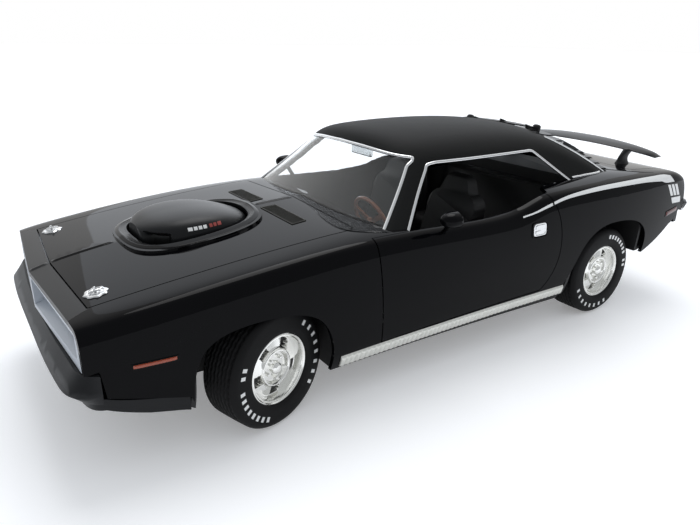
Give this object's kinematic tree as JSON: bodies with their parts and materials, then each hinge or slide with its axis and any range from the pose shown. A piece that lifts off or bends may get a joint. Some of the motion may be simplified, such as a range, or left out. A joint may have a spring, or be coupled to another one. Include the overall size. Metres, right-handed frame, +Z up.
{
  "type": "muscle car model",
  "caption": "Small-scale model of a two-door fastback muscle car: sunk grille, hood scoop, slotted rear shade and wing, with steering wheels, opening doors, hood and deck lid.",
  "frame": {"origin": "on the ground under the middle of the car", "axes": "+Z up, -Y the nose, +X the driver's side"},
  "size_m": [0.1158, 0.268, 0.0781],
  "materials": {
    "paint_black": "gloss",
    "paint_satin": "satin",
    "vinyl": "matte grained",
    "black_plastic": "matte",
    "argent": "satin",
    "chrome_trim": "polished",
    "bumper_paint": "satin",
    "clear": "clear",
    "lens_clear": "clear",
    "lens_red": "gloss",
    "interior": "matte",
    "wood_rim": "gloss",
    "chassis": "matte",
    "steel_rod": "satin",
    "engine_paint": "satin",
    "rim_metal": "polished",
    "tyre": "matte"
  },
  "bodies": {
    "body": {"fender_left": "paint_black", "fender_right": "paint_black", "body_side_left": "paint_black", "body_side_right": "paint_black", "cowl_panel": "paint_black", "nose_panel": "paint_satin", "deck_filler_panel": "paint_black", "tail_panel": "paint_satin", "roof_panel": "vinyl", "windshield": "clear", "rear_glass": "clear", "rear_louvres": "black_plastic", "front_bumper": "bumper_paint", "rear_bumper": "bumper_paint", "front_valance": "paint_black", "grille_surround": "argent", "grille_left": "black_plastic", "grille_right": "black_plastic", "headlamp_left": "lens_clear", "headlamp_right": "lens_clear", "tail_lamp_left": "lens_red", "tail_lamp_right": "lens_red", "scoop": "paint_satin", "engine": "engine_paint", "chassis_pan": "chassis", "interior_tub": "interior", "dashboard": "interior", "steering_wheel": "wood_rim", "seat_left": "interior", "seat_right": "interior", "rear_seat": "interior", "inner_mirror": "chrome_trim", "sill_moulding_left": "chrome_trim", "sill_moulding_right": "chrome_trim", "front_crossmember": "chassis", "rear_axle": "chassis", "exhaust": "chrome_trim"},
    "knuckle_left": {"knuckle_left": "chassis"},
    "knuckle_right": {"knuckle_right": "chassis"},
    "tie_rod": {"tie_rod": "steel_rod"},
    "wheel_fl": {"rim_fl": "rim_metal", "tyre_fl": "tyre"},
    "wheel_fr": {"rim_fr": "rim_metal", "tyre_fr": "tyre"},
    "wheel_rl": {"rim_rl": "rim_metal", "tyre_rl": "tyre"},
    "wheel_rr": {"rim_rr": "rim_metal", "tyre_rr": "tyre"},
    "door_left": {"door_left": "paint_black", "door_mirror_left": "chrome_trim"},
    "door_right": {"door_right": "paint_black", "door_mirror_right": "chrome_trim"},
    "hood": {"hood": "paint_black"},
    "deck_lid": {"deck_lid": "paint_black", "rear_wing": "paint_satin"}
  },
  "joints": [
    {"name": "steering_left", "type": "hinge", "parent": "body", "child": "knuckle_left", "pos_m": [0.0398, -0.0796, 0.0183], "axis": [0, 0, 1], "range_deg": [-42.8, 7.2]},
    {"name": "steering_right", "type": "hinge", "parent": "body", "child": "knuckle_right", "pos_m": [-0.0398, -0.0796, 0.0183], "axis": [0, 0, 1], "range_deg": [-42.8, 7.2]},
    {"name": "tie_rod_pivot", "type": "hinge", "parent": "knuckle_left", "child": "tie_rod", "pos_m": [0.03184, -0.07312, 0.0158], "axis": [0, 0, 1], "range_deg": [-12, 56]},
    {"name": "wheel_fl_spin", "type": "hinge", "parent": "knuckle_left", "child": "wheel_fl", "pos_m": [0.04285, -0.07862, 0.0183], "axis": [0.9521, 0.3057, 0], "continuous": true},
    {"name": "wheel_fr_spin", "type": "hinge", "parent": "knuckle_right", "child": "wheel_fr", "pos_m": [-0.04285, -0.08058, 0.0183], "axis": [0.9521, 0.3057, 0], "continuous": true},
    {"name": "wheel_rl_spin", "type": "hinge", "parent": "body", "child": "wheel_rl", "pos_m": [0.0436, 0.0728, 0.0183], "axis": [1, 0, 0], "continuous": true},
    {"name": "wheel_rr_spin", "type": "hinge", "parent": "body", "child": "wheel_rr", "pos_m": [-0.0436, 0.0728, 0.0183], "axis": [1, 0, 0], "continuous": true},
    {"name": "door_left_hinge", "type": "hinge", "parent": "body", "child": "door_left", "pos_m": [0.04829, -0.0455, 0.033], "axis": [0, 0, -1], "range_deg": [0, 60]},
    {"name": "door_right_hinge", "type": "hinge", "parent": "body", "child": "door_right", "pos_m": [-0.04829, -0.0455, 0.033], "axis": [0, 0, 1], "range_deg": [0, 60]},
    {"name": "hood_hinge", "type": "hinge", "parent": "body", "child": "hood", "pos_m": [0, -0.04102, 0.05035], "axis": [-1, 0, 0], "range_deg": [0, 50]},
    {"name": "deck_lid_hinge", "type": "hinge", "parent": "body", "child": "deck_lid", "pos_m": [0, 0.09223, 0.05494], "axis": [1, 0, 0], "range_deg": [0, 55]}
  ],
  "couplings": [
    {"joint": "steering_right", "follows": "steering_left", "ratio": 1},
    {"joint": "tie_rod_pivot", "follows": "steering_left", "ratio": -1.159}
  ]
}
